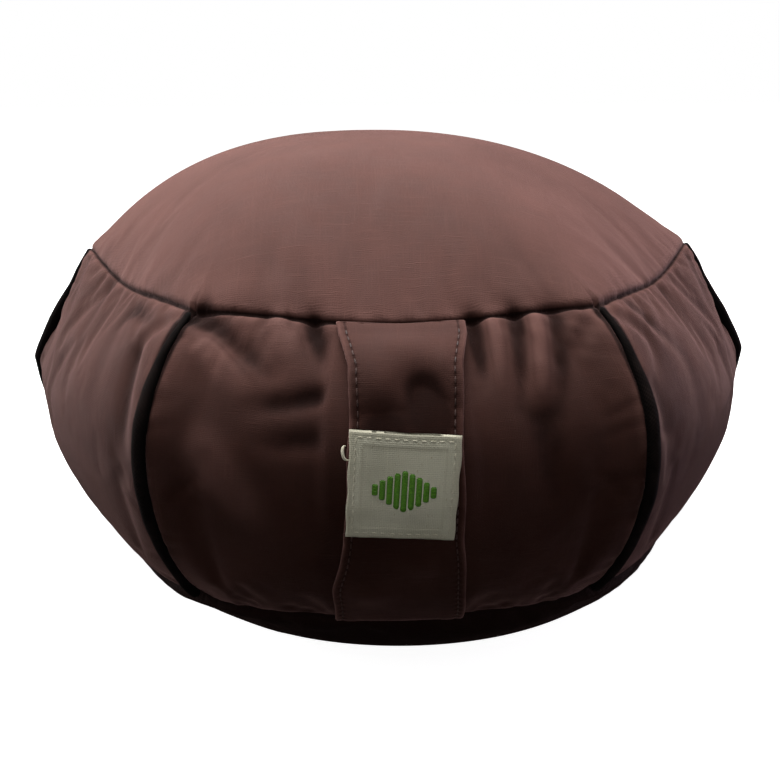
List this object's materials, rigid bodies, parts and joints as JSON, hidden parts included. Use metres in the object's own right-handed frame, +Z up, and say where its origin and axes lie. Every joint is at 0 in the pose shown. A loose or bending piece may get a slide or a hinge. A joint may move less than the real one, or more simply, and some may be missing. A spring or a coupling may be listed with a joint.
{
  "type": "zafu meditation cushion",
  "caption": "Round floor cushion with side panels joined by black piping, a domed top, a flat base, a carry strap down the front and a small cloth label on the strap.",
  "frame": {"origin": "middle of the flat foot, on the cushion's own upright axis, on the floor", "axes": "+Z up, +X to the right when the strap is seen from the front, and the strap on the -Y side"},
  "size_m": [0.3798, 0.3654, 0.208],
  "materials": {
    "brown_cotton": "plain woven cotton, matt with a faint sheen",
    "brown_strap": "the same brown cotton, folded double and stitched along its edges",
    "black_piping": "black bias tape over cord",
    "natural_cotton": "undyed cotton tape with a plain woven green motif"
  },
  "bodies": {
    "root": {"cushion": "brown_cotton", "piping_front_left": "black_piping", "piping_front_right": "black_piping", "piping_left": "black_piping", "piping_right": "black_piping", "piping_back_left": "black_piping", "piping_back_right": "black_piping", "carry_strap": "brown_strap", "label": "natural_cotton"}
  },
  "joints": []
}
